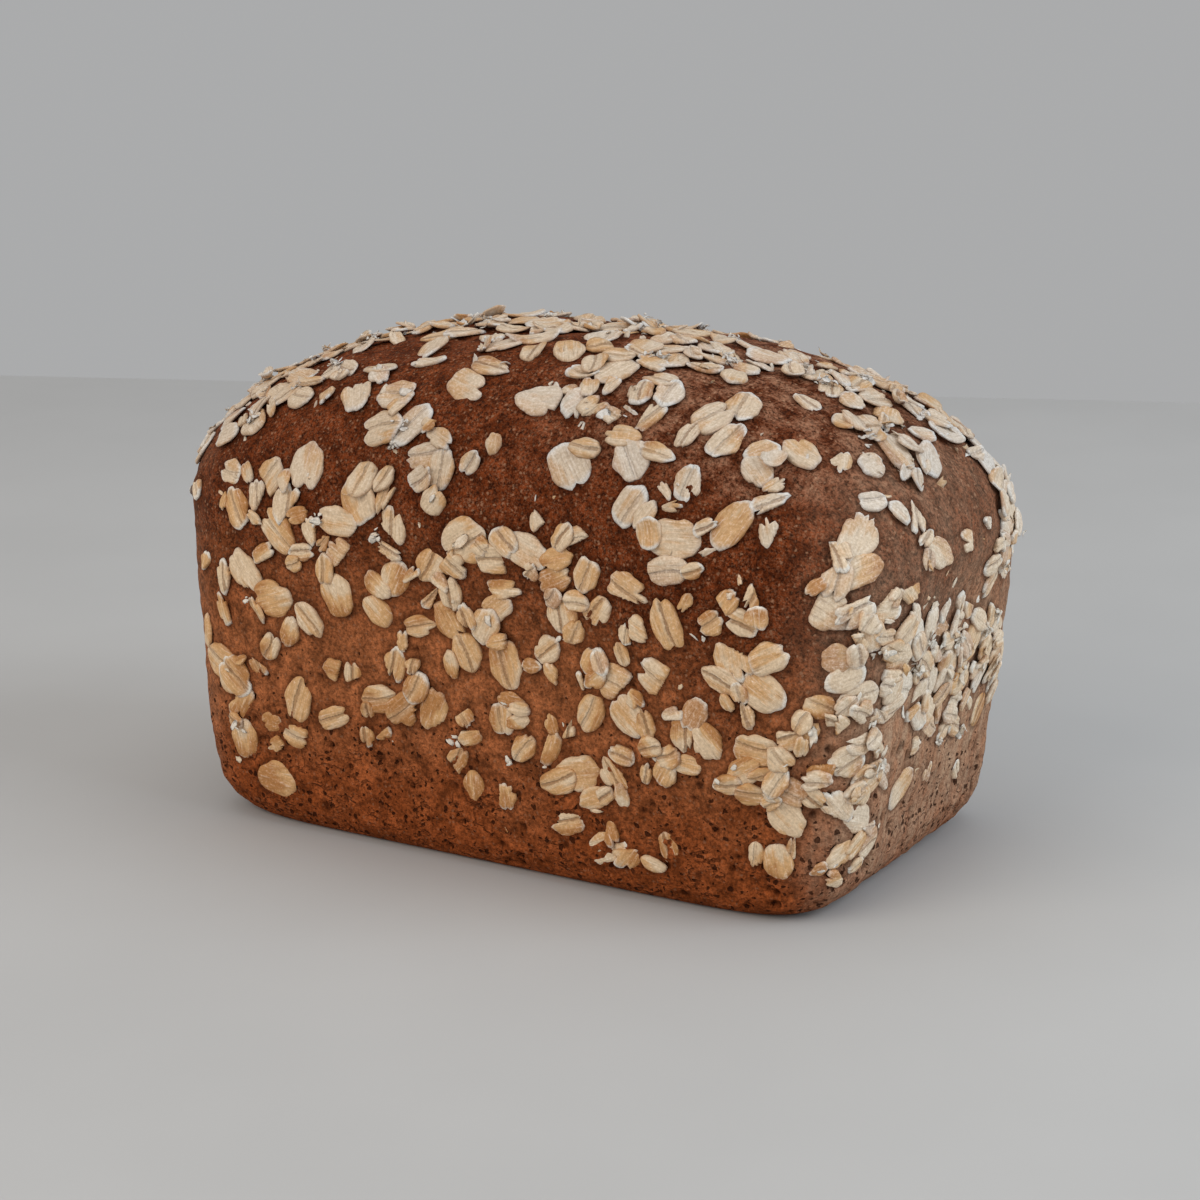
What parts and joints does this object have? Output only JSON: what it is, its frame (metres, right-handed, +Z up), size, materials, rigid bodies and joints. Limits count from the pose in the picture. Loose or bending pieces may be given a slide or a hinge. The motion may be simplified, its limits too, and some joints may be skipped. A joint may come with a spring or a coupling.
{
  "type": "tin loaf",
  "caption": "Domed tin loaf: a flared rectangular bread with a flat foot, a rounded crown and rolled oats baked onto its crust.",
  "frame": {"origin": "middle of the flat foot that the loaf rests on", "axes": "+X along the loaf, +Y across it, +Z up from the foot to the crown"},
  "size_m": [0.1911, 0.1072, 0.1176],
  "materials": {
    "crust": "matt baked crust, dark red-brown crown and lighter brown walls",
    "rolled_oats": "dry toasted oat flakes, pale straw to golden"
  },
  "bodies": {
    "root": {"loaf": "crust"}
  },
  "joints": []
}
